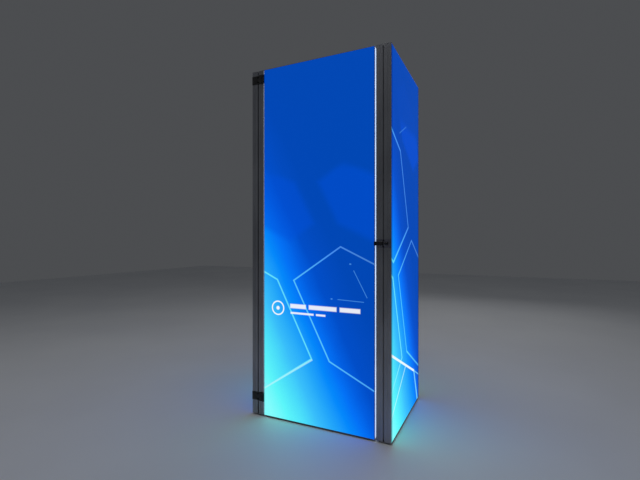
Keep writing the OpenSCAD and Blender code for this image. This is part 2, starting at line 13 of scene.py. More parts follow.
import bpy
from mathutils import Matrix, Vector


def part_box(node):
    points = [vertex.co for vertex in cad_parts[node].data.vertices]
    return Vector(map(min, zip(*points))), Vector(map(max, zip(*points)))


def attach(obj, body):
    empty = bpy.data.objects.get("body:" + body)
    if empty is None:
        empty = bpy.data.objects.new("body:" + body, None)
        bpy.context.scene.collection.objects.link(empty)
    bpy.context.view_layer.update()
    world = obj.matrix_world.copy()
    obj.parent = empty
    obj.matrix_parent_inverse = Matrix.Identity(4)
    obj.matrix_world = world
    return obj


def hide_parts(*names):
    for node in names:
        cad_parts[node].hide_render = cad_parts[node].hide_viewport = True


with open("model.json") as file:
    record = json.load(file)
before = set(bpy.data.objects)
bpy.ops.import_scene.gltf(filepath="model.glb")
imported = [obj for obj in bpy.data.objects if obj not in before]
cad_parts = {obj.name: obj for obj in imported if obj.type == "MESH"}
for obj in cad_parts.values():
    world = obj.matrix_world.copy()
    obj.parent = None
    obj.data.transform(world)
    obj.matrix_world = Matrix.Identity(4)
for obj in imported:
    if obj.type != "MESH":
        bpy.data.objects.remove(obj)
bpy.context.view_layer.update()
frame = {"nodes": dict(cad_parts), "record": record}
NODES = frame["nodes"]
BODY_OF = {n: b for b, names in frame["record"]["behaviour"]["bodies"].items() for n in names}
MM = 0.001

# %% [markdown]
# ## The tower's own measures
# The plane of the front and the two ends of the upright bars are read from the frame. A piece
# that is made from these stays true to the metal.

# %% Read the main planes
stile_low, stile_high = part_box("right_front_stile")
FRONT, FOOT, TOP = stile_low.y, stile_low.z, stile_high.z
print(f"front at {FRONT:.4f}, panels {TOP - FOOT:.3f} m tall")

# %% [markdown]
# ## The camera
# It stands 2.3 m in front of the tower, to the right, at about chest height, and looks level
# so that the uprights stay parallel. A wide lens is what gives the strong narrowing of the
# far edges. It comes first.

# %% Camera
CAMERA_OUT = 2.3042
CAMERA_RIGHT = 1.131
CAMERA_HEIGHT = 1.2272
CAMERA_TURN = math.radians(25.58)
LENS, SENSOR = 22.149, 36   # in mm, as a camera's lens is sold

bpy.ops.object.select_all(action="DESELECT")
bpy.ops.object.camera_add(
    location=(CAMERA_RIGHT, FRONT - CAMERA_OUT, CAMERA_HEIGHT),
    rotation=(math.pi / 2, 0, CAMERA_TURN),
)
camera = bpy.context.object
camera.data.sensor_width = SENSOR
camera.data.lens = LENS
bpy.context.scene.camera = camera
print("camera at", [round(v, 3) for v in camera.location])

# %% [markdown]
# ## Studio
# A plain pale floor and three large soft lamps, all weak, because the tower lights itself. The
# main one hangs overhead: it lights the floor, grazes the upright faces, and stays out of the
# reflections in the bars.

# %% Floor, lamps and sky
def area_lamp(name, place, aim, size, watts):
    """A square soft lamp at a place, turned towards a point."""
    turn = (Vector(aim) - Vector(place)).to_track_quat("-Z", "Y").to_euler()
    bpy.ops.object.select_all(action="DESELECT")
    bpy.ops.object.light_add(type="AREA", location=place, rotation=turn)
    lamp = bpy.context.object
    lamp.name = name
    lamp.data.size = size
    lamp.data.energy = watts
    return lamp


MIDDLE = (0, 0, 1.2)
area_lamp("overhead_lamp", (0.3, -0.8, 5.6), MIDDLE, 4, 62)
area_lamp("left_lamp", (-5.2, -2.4, 2.8), MIDDLE, 3, 6)
area_lamp("rear_lamp", (0.5, 5.2, 3.4), MIDDLE, 3, 16)

bpy.ops.object.select_all(action="DESELECT")
bpy.ops.mesh.primitive_plane_add(size=24, location=(0, 0, 0))
floor = bpy.context.object
floor.name = "studio_floor"

world = bpy.data.worlds.new("pale_room")
world.use_nodes = True
world.node_tree.nodes["Background"].inputs["Color"].default_value = (0.72, 0.75, 0.8, 1)
world.node_tree.nodes["Background"].inputs["Strength"].default_value = 0.1
bpy.context.scene.world = world
bpy.context.scene.view_settings.view_transform = "Standard"
print("three lamps and a pale floor")

# %% [markdown]
# ## Colour and node helpers
# Colours are written as they look, in sRGB hex, and one function makes them linear, which is
# what a shader adds and multiplies. One more function adds a shader node of any kind with its
# settings and its links. Three patterns are used again and again: grains of a given size,
# soft clouds of two tones, and a grain that is both roughness and height.

# %% Helpers for materials
def linear(code):
    """An sRGB hex colour as linear RGBA."""
    channels = [int(code[i : i + 2], 16) / 255 for i in (1, 3, 5)]
    return [c / 12.92 if c <= 0.04045 else ((c + 0.055) / 1.055) ** 2.4 for c in channels] + [1]


def add(tree, kind, settings=None, inputs=None):
    """Adds a node, sets its settings, and links or sets its inputs."""
    made = tree.nodes.new("ShaderNode" + kind)
    for name, value in (settings or {}).items():
        setattr(made, name, value)
    for key, value in (inputs or {}).items():
        if isinstance(value, bpy.types.NodeSocket):
            tree.links.new(value, made.inputs[key])
        else:
            made.inputs[key].default_value = value
    return made


def new_material(name, **sockets):
    """A material with its Principled shader and its Object coordinates."""
    material = bpy.data.materials.new(name)
    material.use_nodes = True
    tree = material.node_tree
    shader = tree.nodes["Principled BSDF"]
    for key, value in sockets.items():
        shader.inputs[key.replace("_", " ")].default_value = value
    place = add(tree, "TexCoord").outputs["Object"]
    return material, tree, shader, place


def grains(tree, place, size, detail=3):
    """Noise, 0 to 1, whose grains have the given sizes along X, Y and Z, in metres."""
    scaled = add(tree, "VectorMath", {"operation": "DIVIDE"}, {0: place, 1: size})
    return add(
        tree, "TexNoise", inputs={"Vector": scaled.outputs[0], "Scale": 1, "Detail": detail}
    ).outputs["Fac"]


def clouded(tree, place, size, low, high):
    """Two tones that run into each other in soft clouds of the given sizes, in metres."""
    ramp = add(tree, "ValToRGB", inputs={"Fac": grains(tree, place, size)})
    stops = ramp.color_ramp.elements
    for stop, position, code in ((stops[0], 0.35, low), (stops[1], 0.65, high)):
        stop.position = position
        stop.color = linear(code)
    return ramp.outputs["Color"]


def roughened(tree, shader, grain, smoothest, roughest, lift, strength):
    """Makes a grain both the roughness of a surface and its height, lifted by lift metres."""
    rough = add(
        tree, "MapRange", inputs={"Value": grain, "To Min": smoothest, "To Max": roughest}
    )
    tree.links.new(rough.outputs[0], shader.inputs["Roughness"])
    raised = add(tree, "Bump", inputs={"Height": grain, "Distance": lift, "Strength": strength})
    tree.links.new(raised.outputs["Normal"], shader.inputs["Normal"])


print("helpers are ready")

# %% [markdown]
# ## Anodised aluminium
# The frame bars are extruded, and the die leaves fine lines along each bar. Anodising keeps
# them under a thin, clear, slightly milky film. So the colour is a mid silver, it looks as dark
# as the room it reflects, and both roughness and height vary in long thin grains. The grains
# run along the bar, so there is one finish for each direction a bar can have.

# %% Anodised bars
DIE_LINE = 0.5 * MM
DIE_LINE_LENGTH = 260 * MM


def anodised(name, along):
    """Extruded and anodised aluminium, with its die lines along X, Y or Z (0, 1 or 2)."""
    material, tree, shader, place = new_material(name, Metallic=1.0)
    line = [DIE_LINE] * 3
    line[along] = DIE_LINE_LENGTH
    shade = clouded(tree, place, [90 * MM, 90 * MM, 240 * MM], "#9a9ca2", "#a8aab0")
    tree.links.new(shade, shader.inputs["Base Color"])
    roughened(tree, shader, grains(tree, place, line), 0.26, 0.5, 0.04 * MM, 0.35)
    return material


ANODISED = {
    "upright": anodised("anodised_aluminium_upright", 2),
    "across": anodised("anodised_aluminium_across", 0),
    "deep": anodised("anodised_aluminium_deep", 1),
}
print("three anodised finishes")

# %% [markdown]
# ## Powder coats, plastics, rubber and plain metals
# Most of the small parts share one idea: a base colour with a slow, faint cloud in it and a
# fine grain in the height. What differs is the grain's size, how rough it is and how far it
# stands up. A powder coat is an orange peel of about a millimetre, moulded plastic is finer
# and flatter, and cast metal is coarse and dull. The grain sizes are those of the real
# finishes, except where a note says that they were made coarser.

# %% Grained finishes
ROUGH_SWING = 0.07   # how far the grain takes the roughness from its mean


def grained(name, dark, light, rough, grain_mm, lift_mm, metal=0.0, coat=0.0):
    """A plain finish: two close tones, a mean roughness, and a grain that stands up a little."""
    material, tree, shader, place = new_material(name, Metallic=metal)
    shader.inputs["Coat Weight"].default_value = coat
    shader.inputs["Coat Roughness"].default_value = 0.25
    shade = clouded(tree, place, [35 * MM] * 3, dark, light)
    tree.links.new(shade, shader.inputs["Base Color"])
    grain = grains(tree, place, [grain_mm * MM] * 3, 4)
    roughened(tree, shader, grain, rough - ROUGH_SWING, rough + ROUGH_SWING, lift_mm * MM, 0.6)
    return material


HINGE_COAT = grained("satin_black_powder_coat", "#090a0b", "#0f1011", 0.42, 0.9, 0.05, coat=0.12)
BOLT_COAT = grained("dark_grey_powder_coat", "#1a1a20", "#232329", 0.46, 0.9, 0.05, coat=0.1)
PLATE_ALLOY = grained("dark_anodised_plate", "#80818e", "#8a8b99", 0.36, 0.6, 0.02, metal=1.0)
TIE_COAT = grained("dark_textured_powder_coat", "#2b2c30", "#34353a", 0.55, 0.7, 0.06)
ROD_STEEL = grained("burnished_black_steel", "#2a2b2e", "#3a3b3f", 0.3, 0.4, 0.01, metal=1.0)
SCREW_STEEL = grained("black_oxide_steel", "#1b1b1d", "#2a2a2d", 0.38, 0.5, 0.01, metal=0.9)
PIN_STEEL = grained("ground_steel", "#8b8e92", "#a2a5a9", 0.28, 0.3, 0.005, metal=1.0)
CAST_ALLOY = grained("cast_aluminium_alloy", "#8e9093", "#a4a6a8", 0.5, 1.4, 0.08, metal=1.0)
RUBBER = grained("matt_black_rubber", "#17171a", "#212124", 0.8, 0.6, 0.04)
PVC = grained("black_pvc_sheath", "#141416", "#1c1c1f", 0.5, 0.8, 0.02)
NYLON = grained("moulded_black_nylon", "#17181b", "#202125", 0.36, 0.5, 0.02)
WHITE_COAT = grained("white_powder_coat", "#d2d5d8", "#dfe2e4", 0.45, 0.9, 0.05)
SILICONE = grained("translucent_silicone", "#c9cfd4", "#dde2e6", 0.35, 2.0, 0.02)
print("thirteen grained finishes")

# %% [markdown]
# ## LED boards and opal strips
# An LED board is white lacquer over glass fibre, and the lenses on it give off a cold white
# light. The opal strip is acrylic with a fine white pigment: light from the tape behind it
# spreads until the strip glows all over.

# %% Lit plastics
def lit_plastic(name, colour, rough, glow):
    """White plastic or lacquer that gives off a cold white light."""
    material, tree, shader, place = new_material(name, Roughness=rough)
    size = [18 * MM] * 3
    tree.links.new(clouded(tree, place, size, colour, "#f4f8ff"), shader.inputs["Base Color"])
    light = clouded(tree, place, size, "#b9d0f6", "#d0e0fa")
    tree.links.new(light, shader.inputs["Emission Color"])
    shader.inputs["Emission Strength"].default_value = glow
    return material


LED_BOARD = lit_plastic("white_led_board", "#dfe5ea", 0.3, 0.6)
OPAL = lit_plastic("opal_acrylic", "#e6eefb", 0.35, 1.0)
print("LED board and opal acrylic")

# %% [markdown]
# ## The print
# The cloth is polyester, dye printed and lit from behind, so its picture is mostly light that
# comes through it. The picture is drawn with numbers, and not with an image: a ramp of blues
# that runs at a slant, from cyan low down to deep blue high up, and outlines of six-sided
# figures that all slant the same way. Each figure is three pairs of parallel edges, so its
# outline is where the largest of three distances is zero.

# %% Slant of the ramp and shapes of the figures
def edges_of(corner, next_corner):
    """The three pairs of edges of a figure, from two corners seen from its middle, in mm."""
    first, second = Vector(corner) * MM, Vector(next_corner) * MM
    pairs = []
    for start, end in ((first, second), (second, second - first), (first, first - second)):
        along = end - start
        normal = Vector((along.y, -along.x)).normalized()
        reach = normal.dot(start)
        pairs.append((normal, reach) if reach > 0 else (-normal, -reach))
    return pairs


FRONT_FIGURE = edges_of((-600, 283), (-261, 510))
SIDE_FIGURE = edges_of((-599, 320), (-226, 540))
LOW_FIGURE = edges_of((-609, 268), (-220, 489))
SMALL_FIGURE = edges_of((-340, 160), (-148, 290))
SLANT = Vector((0.890, 0.456))   # the way the ramp runs
BLUES = [                        # how far along the slant, in mm, and the colour there
    (-290, "#84ffff"), (-175, "#5df9fc"), (-75, "#4be0fc"), (25, "#39c0fd"),
    (125, "#22a7fc"), (225, "#038afe"), (300, "#0273f9"), (375, "#015fe3"),
    (450, "#004fcb"), (550, "#014bc0"), (650, "#0048b8"), (900, "#0048b6"),
]
for shape in (FRONT_FIGURE, SIDE_FIGURE, LOW_FIGURE, SMALL_FIGURE):
    print("edges at", [round(reach / MM) for _, reach in shape], "mm from the middle")

# %% [markdown]
# ### From the cloth to the picture
# Each face has its own direction across, so a point on it becomes a spot in its picture: how
# far along the face, and how high. The height is kept from the floor, so the pictures of two
# faces meet at the same level. A line is then where some distance from the spot is nearly zero.

# %% Picture helpers
def spot_of(tree, place, across):
    """A point's spot in the picture: metres along the face, and metres above the floor."""
    along = add(tree, "VectorMath", {"operation": "DOT_PRODUCT"}, {0: place, 1: across})
    above = add(tree, "SeparateXYZ", inputs={0: place})
    return add(
        tree, "CombineXYZ", inputs={0: along.outputs[1], 1: above.outputs[2]}
    ).outputs[0]


def slanted(tree, spot, normal, offset):
    """Distance of a spot along a slanted direction, from an offset."""
    reach = add(tree, "VectorMath", {"operation": "DOT_PRODUCT"}, {0: spot, 1: (*normal, 0)})
    return add(
        tree, "Math", {"operation": "SUBTRACT"}, {0: reach.outputs[1], 1: offset}
    ).outputs[0]


def beyond(tree, distance, reach):
    """How far a distance is past a reach to either side (negative inside)."""
    away = add(tree, "Math", {"operation": "ABSOLUTE"}, {0: distance})
    return add(tree, "Math", {"operation": "SUBTRACT"}, {0: away.outputs[0], 1: reach}).outputs[0]


def figure_distance(tree, spot, centre, edges):
    """How far a spot is outside a six-sided figure (negative inside), in metres."""
    largest = None
    for normal, reach in edges:
        away = beyond(tree, slanted(tree, spot, normal, normal.dot(centre)), reach)
        if largest is not None:
            away = add(tree, "Math", {"operation": "MAXIMUM"}, {0: largest, 1: away}).outputs[0]
        largest = away
    return largest


SMOOTH = {"interpolation_type": "SMOOTHSTEP"}
LINE_FADE = 1.8   # a line has faded out at this many times its half width


def line_mask(tree, distance, half_width, strength):
    """The strength on a line, and 0 a little beyond its half width."""
    away = add(tree, "Math", {"operation": "ABSOLUTE"}, {0: distance})
    return add(
        tree, "MapRange", SMOOTH,
        {"Value": away.outputs[0], "From Min": half_width, "From Max": half_width * LINE_FADE,
         "To Min": strength, "To Max": 0},
    ).outputs[0]


def dash_mask(tree, spot, start, end, half_width, strength):
    """The strength on a straight dash between two places of the picture in mm."""
    start, end = Vector(start) * MM, Vector(end) * MM
    along = (end - start).normalized()
    normal = Vector((along.y, -along.x))
    side = beyond(tree, slanted(tree, spot, normal, normal.dot(start)), 0)
    ahead = slanted(tree, spot, along, along.dot((start + end) / 2))
    ahead = beyond(tree, ahead, (end - start).length / 2)
    away = add(tree, "Math", {"operation": "MAXIMUM"}, {0: side, 1: ahead})
    return line_mask(tree, away.outputs[0], half_width * MM, strength)


print("picture helpers are ready")

# %% [markdown]
# ### One printed cloth for each face
# The ramp is laid first. Over it come layers: a few large, faint, filled figures in the upper
# half, the thin light outlines, the short dashes, and the plain marks. An outline takes its
# colour from the ramp too, from a place nearer the light. Beside the frame the cloth is
# darker, because the bar behind it takes some of the light. The ribs of the knit are drawn at
# 1.6 mm, about three times the real spacing, so that they can be seen at all. They lift the
# surface, and they dim the light a little between them.

# %% Printed cloth
OUTLINE = linear("#5cb4ff")
PALE_BLUE = linear("#80d0ff")
PALE_CYAN = linear("#8cf0ff")
LIGHT_LINE = linear("#86dcff")
BRIGHT = linear("#eefcff")
SOFT_WHITE = linear("#c8ffff")
PLAIN_WHITE = linear("#fbfdff")
FAINT = linear("#0051dc")
SHADE_AT_FRAME = linear("#001c4a")
SHADE_BETWEEN_RIBS = linear("#00060f")
PRINT_GLOW = 1.03
PAINTED_SHADE_ON_BASE = 0.88          # painted shade: how far the cloth's base colour is taken towards near black, so the lamps add little light to the glow
LIT_AT_FRAME = 0.3
LIT_BETWEEN_RIBS = 0.84
CLOUD_SWING = 70 * MM     # how far a cloud pushes the ramp
LINE_LIFT = 320 * MM      # an outline has the blue of a place this much nearer the light,
LINE_PALE = 0.33          # with some pale blue in it
FAINT_EDGE = (-45 * MM, 15 * MM)   # where a filled figure starts and ends its fade outwards,
FAINT_TOP = (-60 * MM, 30 * MM)    # and its fade upwards, about the height given for it
RIB = 1.6 * MM
RIB_LIFT = 0.1 * MM
WAVES_PER_M = 2 * math.pi / RIB / 20   # the wave node makes 20 waves in 2 pi units


def knitted(tree, place, shader):
    """Lifts the cloth's ribs. Gives them back, 0 to 1, to shade the glow with."""
    waves = [
        add(
            tree, "TexWave", {"wave_type": "BANDS", "bands_direction": direction},
            {"Vector": place, "Scale": WAVES_PER_M, "Distortion": 0.6, "Detail": 1.0},
        ).outputs["Fac"]
        for direction in ("X", "Y", "Z")
    ]
    level = add(tree, "Math", {"operation": "MULTIPLY"}, {0: waves[0], 1: waves[1]})
    ribs = add(tree, "Math", {"operation": "MAXIMUM"}, {0: level.outputs[0], 1: waves[2]})
    raised = add(
        tree, "Bump", inputs={"Height": ribs.outputs[0], "Distance": RIB_LIFT, "Strength": 0.35}
    )
    tree.links.new(raised.outputs["Normal"], shader.inputs["Normal"])
    return ribs.outputs[0]


def ramp_of_blues(tree, slope):
    """The colour of the print at a place along the slant."""
    low, high = BLUES[0][0] * MM, BLUES[-1][0] * MM
    share = add(tree, "MapRange", inputs={"Value": slope, "From Min": low, "From Max": high})
    ramp = add(tree, "ValToRGB", inputs={"Fac": share.outputs[0]})
    stops = ramp.color_ramp.elements
    for index, (reach, colour) in enumerate(BLUES):
        position = (reach * MM - low) / (high - low)
        stop = stops[index] if index < 2 else stops.new(position)
        stop.position = position
        stop.color = linear(colour)
    return ramp.outputs["Color"]


def printed(name, across, ramp_from, sides, fade, figures, faint=(), dashes=(), marks=False):
    """Printed, backlit polyester. Positions are in mm: along the face, and above the floor.

    A figure's outline without a colour of its own takes its colour from the ramp.
    """
    material, tree, shader, place = new_material(name, Roughness=0.8, Specular_IOR_Level=0.06)
    over = {"data_type": "RGBA"}
    spot = spot_of(tree, place, across)
    slope = slanted(tree, spot, SLANT, SLANT.x * ramp_from * MM)
    cloud = grains(tree, place, [340 * MM, 340 * MM, 420 * MM], 2)
    swing = add(
        tree, "MapRange",
        inputs={"Value": cloud, "To Min": -CLOUD_SWING / 2, "To Max": CLOUD_SWING / 2},
    )
    slope = add(tree, "Math", {"operation": "ADD"}, {0: slope, 1: swing.outputs[0]}).outputs[0]
    picture = ramp_of_blues(tree, slope)
    nearer = add(tree, "Math", {"operation": "SUBTRACT"}, {0: slope, 1: LINE_LIFT})
    line_blue = ramp_of_blues(tree, nearer.outputs[0])
    line_light = add(tree, "Mix", over, {0: LINE_PALE, 6: line_blue, 7: PALE_BLUE}).outputs[2]

    layers = []
    for centre, edges, strength, top in faint:
        filled = figure_distance(tree, spot, Vector(centre) * MM, edges)
        inside = add(
            tree, "MapRange", SMOOTH,
            {"Value": filled, "From Min": FAINT_EDGE[0], "From Max": FAINT_EDGE[1],
             "To Min": strength, "To Max": 0},
        )
        lower = add(
            tree, "MapRange", SMOOTH,
            {"Value": slanted(tree, spot, (0, 1), top * MM), "From Min": FAINT_TOP[0],
             "From Max": FAINT_TOP[1], "To Min": 1, "To Max": 0.15},
        )
        cover = add(
            tree, "Math", {"operation": "MULTIPLY"}, {0: inside.outputs[0], 1: lower.outputs[0]}
        )
        layers.append((cover.outputs[0], FAINT))
    for centre, edges, half_width, strength, colour in figures:
        distance = figure_distance(tree, spot, Vector(centre) * MM, edges)
        cover = line_mask(tree, distance, half_width * MM, strength)
        layers.append((cover, colour or line_light))
    for start, end, half_width, strength, colour in dashes:
        layers.append((dash_mask(tree, spot, start, end, half_width, strength), colour))
    if marks:
        layers += plain_marks(tree, spot)
    for cover, colour in layers:
        picture = add(tree, "Mix", over, {0: cover, 6: picture, 7: colour}).outputs[2]

    from_side = beyond(
        tree, slanted(tree, spot, (1, 0), (sides[0] + sides[1]) / 2), (sides[1] - sides[0]) / 2
    )
    lit = add(
        tree, "MapRange", SMOOTH,
        {"Value": from_side, "From Min": -fade * MM, "From Max": 0,
         "To Min": 1, "To Max": LIT_AT_FRAME},
    )
    glow = add(tree, "Mix", over, {0: lit.outputs[0], 6: SHADE_AT_FRAME, 7: picture})
    ribs = add(
        tree, "MapRange",
        inputs={"Value": knitted(tree, place, shader), "To Min": LIT_BETWEEN_RIBS, "To Max": 1},
    )
    glow = add(
        tree, "Mix", over, {0: ribs.outputs[0], 6: SHADE_BETWEEN_RIBS, 7: glow.outputs[2]}
    )
    tree.links.new(glow.outputs[2], shader.inputs["Emission Color"])
    shader.inputs["Emission Strength"].default_value = PRINT_GLOW
    # Painted shade: the base colour is the picture taken nearly to black, which keeps the lamps' light
    # off the glow; the real print is lighter.
    painted_dark_base = add(tree, "Mix", over, {0: PAINTED_SHADE_ON_BASE, 6: picture, 7: linear("#000308")})
    tree.links.new(painted_dark_base.outputs[2], shader.inputs["Base Color"])
    shader.inputs["Sheen Weight"].default_value = 0.012
    return material


print("the print can be laid on", len(BLUES), "blues")

# %% [markdown]
# ### The plain marks on the door
# A door like this one carries its owner's name. Here it has a generic stand-in: a ring with a
# dot, and two rows of plain blocks, all white, as a layout sheet shows words.

# %% Plain marks
RING_CENTRE = Vector((-290, 764, 0)) * MM
RING_R = 45 * MM
RING_HALF_WIDTH = 3 * MM
DOT_R = 9 * MM
BLOCK_STRENGTH = 0.86
BLOCKS = [                # (from, to), height and half width, in mm
    ((-180, -90), 784, 10), ((-40, 130), 784, 10), ((180, 290), 784, 10),
    ((-185, -25), 738, 4.5), ((5, 60), 738, 4.5),
]


def plain_marks(tree, spot):
    """The layers of the stand-in: the ring, its dot and the blocks."""
    away = add(tree, "VectorMath", {"operation": "DISTANCE"}, {0: spot, 1: RING_CENTRE}).outputs[1]
    off_ring = add(tree, "Math", {"operation": "SUBTRACT"}, {0: away, 1: RING_R})
    layers = [
        (line_mask(tree, off_ring.outputs[0], RING_HALF_WIDTH, 1), PLAIN_WHITE),
        (line_mask(tree, away, DOT_R, 1), PLAIN_WHITE),
    ]
    for (start, end), height, half_width in BLOCKS:
        block = dash_mask(
            tree, spot, (start, height), (end, height), half_width, BLOCK_STRENGTH
        )
        layers.append((block, PLAIN_WHITE))
    return layers


print("a ring, a dot and", len(BLOCKS), "blocks")

# %% [markdown]
# ### The four faces
# The door and the right side are drawn from the object. The left side and the back continue
# the same figures in the same blues, because one picture usually runs round such a tower.

# %% Four printed cloths
def along_side(from_front, height):
    """A place on a side face, from its distance behind the front edge."""
    return (FRONT / MM + from_front, height)


def span_of(node, across):
    """The lowest and highest value of a node's box along a level direction."""
    return sorted(corner.dot(Vector(across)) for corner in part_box(node))


DOOR_PRINT = printed(
    "printed_polyester_door", (1, 0, 0), 0, span_of("door_graphic", (1, 0, 0)), 7,
    [((433, 674), FRONT_FIGURE, 3.2, 0.9, None), ((-634, 730), FRONT_FIGURE, 3.6, 0.9, None)],
    faint=[((-340, 1491), SMALL_FIGURE, 0.45, 1680), ((335, 1450), SMALL_FIGURE, 0.45, 1720)],
    dashes=[((261, 1035), (348, 872), 1.6, 0.5, OUTLINE), ((154, 849), (326, 843), 1.6, 0.5, OUTLINE),
            ((236, 1076), (240, 1076), 3, 0.5, OUTLINE), ((108, 850), (112, 850), 3, 0.5, OUTLINE),
            ((-420, 185), (-32, 440), 3.6, 0.5, SOFT_WHITE)],
    marks=True,
)
RIGHT_PRINT = printed(
    "printed_polyester_right", (0, 1, 0), FRONT / MM + 395, span_of("right_graphic", (0, 1, 0)), 36,
    [(along_side(-169, 1582), LOW_FIGURE, 5.5, 0.9, None),
     (along_side(766, 683), SIDE_FIGURE, 4.5, 0.9, None),
     (along_side(-337, 775), SIDE_FIGURE, 6, 0.9, None)],
    faint=[(along_side(452, 2005), SMALL_FIGURE, 0.6, 2010)],
    dashes=[(along_side(-10, 541), along_side(620, 263), 5.5, 1.0, BRIGHT),
            (along_side(620, 263), along_side(800, 178), 3, 0.8, LIGHT_LINE),
            (along_side(622, 255), along_side(735, 14), 9, 0.7, PALE_CYAN),
            (along_side(360, 370), along_side(-10, 144), 5.5, 0.65, SOFT_WHITE),
            (along_side(200, 1915), along_side(375, 1998), 2.5, 0.3, OUTLINE)],
)
LEFT_SPAN = span_of("left_graphic", (0, -1, 0))
LEFT_START = LEFT_SPAN[0] / MM
LEFT_PRINT = printed(
    "printed_polyester_left", (0, -1, 0), LEFT_START + 395, LEFT_SPAN, 36,
    [((LEFT_START + 640, 900), SIDE_FIGURE, 4, 0.8, None),
     ((LEFT_START - 60, 420), SIDE_FIGURE, 4, 0.8, None),
     ((LEFT_START + 180, 1540), LOW_FIGURE, 4, 0.8, None)],
    faint=[((LEFT_START + 520, 1700), SMALL_FIGURE, 0.5, 1900)],
    dashes=[((LEFT_START - 10, 380), (LEFT_START + 800, 22), 5, 0.9, BRIGHT)],
)
BACK_PRINT = printed(
    "printed_polyester_back", (-1, 0, 0), 0, span_of("back_graphic", (-1, 0, 0)), 30,
    [((360, 560), FRONT_FIGURE, 3.4, 0.8, None), ((-520, 980), FRONT_FIGURE, 3.4, 0.8, None)],
    faint=[((-300, 1600), SMALL_FIGURE, 0.45, 1800), ((220, 1420), SMALL_FIGURE, 0.45, 1680)],
    dashes=[((60, 1180), (230, 1290), 1.6, 0.4, OUTLINE), ((-240, 300), (-60, 210), 1.6, 0.4, OUTLINE)],
)
print("four printed cloths")

# %% [markdown]
# ## White cloth
# The hem round the door's edges isn't printed, and the strips behind it light it strongly. The
# liners inside the tower are a heavier white block-out cloth: only a trace of light comes
# through.

# %% White cloths
HINGE_SIDE_SHARE = 0.38   # the door's hinge side glows as if its tape had fewer lamps
BAND_EDGE = 2 * MM        # half of the fade at each edge of the lit band
BAND_REST = 0.02          # what still glows outside it


def white_cloth(name, glow, tint, lit_band=None):
    """White cloth. A lit band is (middle, half width) in Y, where a lit strip lies behind it."""
    material, tree, shader, place = new_material(name, Roughness=0.7)
    size = [60 * MM, 60 * MM, 140 * MM]
    tree.links.new(clouded(tree, place, size, "#dfe3e8", "#e6e9ed"), shader.inputs["Base Color"])
    light = clouded(tree, place, size, tint, "#cfdff9")
    if lit_band:
        middle, half = lit_band
        parts = add(tree, "SeparateXYZ", inputs={0: place}).outputs
        depth = add(tree, "Math", {"operation": "SUBTRACT"}, {0: parts[1], 1: middle})
        past = beyond(tree, depth.outputs[0], half)
        inside = add(
            tree, "MapRange", SMOOTH, {"Value": past, "From Min": -BAND_EDGE, "From Max": BAND_EDGE,
                                       "To Min": 1, "To Max": BAND_REST},
        )
        side = add(
            tree, "MapRange", inputs={"Value": parts[0], "From Min": -0.3, "From Max": 0.3,
                                      "To Min": HINGE_SIDE_SHARE, "To Max": 1},
        )
        share = add(
            tree, "Math", {"operation": "MULTIPLY"}, {0: inside.outputs[0], 1: side.outputs[0]}
        )
        light = add(
            tree, "Mix", {"data_type": "RGBA"},
            {0: share.outputs[0], 6: linear("#000000"), 7: light},
        ).outputs[2]
    tree.links.new(light, shader.inputs["Emission Color"])
    shader.inputs["Emission Strength"].default_value = glow
    shader.inputs["Sheen Weight"].default_value = 0.1
    knitted(tree, place, shader)
    return material


strip_low, strip_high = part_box("door_edge_diffusers")
STRIP_MIDDLE, STRIP_WIDTH = (strip_low.y + strip_high.y) / 2, strip_high.y - strip_low.y
LIT_BAND = (STRIP_MIDDLE, 0.3 * STRIP_WIDTH)   # the tape lights the middle of the strip most
HEM_CLOTH = white_cloth("white_polyester_hem", 0.92, "#bdd3f7", LIT_BAND)
LINER_CLOTH = white_cloth("white_blockout_liner", 0.12, "#c9d8f2")
print("hem and liner")

# %% [markdown]
# ## Finishes on the CAD pieces
# Each frame bar gets the anodised finish whose lines run along it, and each other piece gets
# the finish of its real material. Only the material slots change.

# %% Give every CAD node its finish
def finish_of(name):
    """The material of a CAD node, from what the piece is."""
    if name.endswith("_stile"):
        return ANODISED["upright"]
    if name.endswith("_rail"):
        return ANODISED["deep" if name.startswith(("left", "right")) else "across"]
    endings = {
        "_led_bars": LED_BOARD, "_corner_brackets": CAST_ALLOY, "_driver": WHITE_COAT,
        "_harness": PVC, "_diffusers": OPAL, "_glides": RUBBER, "_bumpers": RUBBER,
        "_link_plates": TIE_COAT, "header_tie": TIE_COAT, "threshold": TIE_COAT,
        "_bracket": HINGE_COAT, "_leaf": HINGE_COAT, "_pin": PIN_STEEL,
        "bolt_housing": BOLT_COAT, "bolt_keeper": HINGE_COAT, "bolt_rod": ROD_STEEL,
        "_screws": SCREW_STEEL, "power_inlet": NYLON, "_graphic": HEM_CLOTH,
        "_liner": LINER_CLOTH,
    }
    return next(finish for ending, finish in endings.items() if name.endswith(ending))


for name, piece in NODES.items():
    piece.data.materials.clear()
    piece.data.materials.append(finish_of(name))
print("finishes on", len(NODES), "CAD pieces")

# %% [markdown]
# ## Selecting by place
# In edit mode an operator acts on what is selected. A small helper picks faces or edges by a
# test on them, in the way a person would click them.

# %% Helpers for modelling
def only(piece):
    """Selects one object and nothing else."""
    bpy.ops.object.select_all(action="DESELECT")
    piece.select_set(True)
    bpy.context.view_layer.objects.active = piece


def pick(piece, kind, test):
    """In edit mode, selects the edges or faces of a piece that pass the test."""
    only(piece)
    bpy.ops.object.mode_set(mode="EDIT")
    bpy.ops.mesh.select_mode(type="FACE" if kind == "polygons" else "EDGE")
    bpy.ops.mesh.select_all(action="DESELECT")
    bpy.ops.object.mode_set(mode="OBJECT")
    mesh = piece.data
    count = 0
    for item in getattr(mesh, kind):
        corners = [mesh.vertices[i].co for i in item.vertices]
        item.select = bool(test(corners))
        count += item.select
    bpy.ops.object.mode_set(mode="EDIT")
    return count


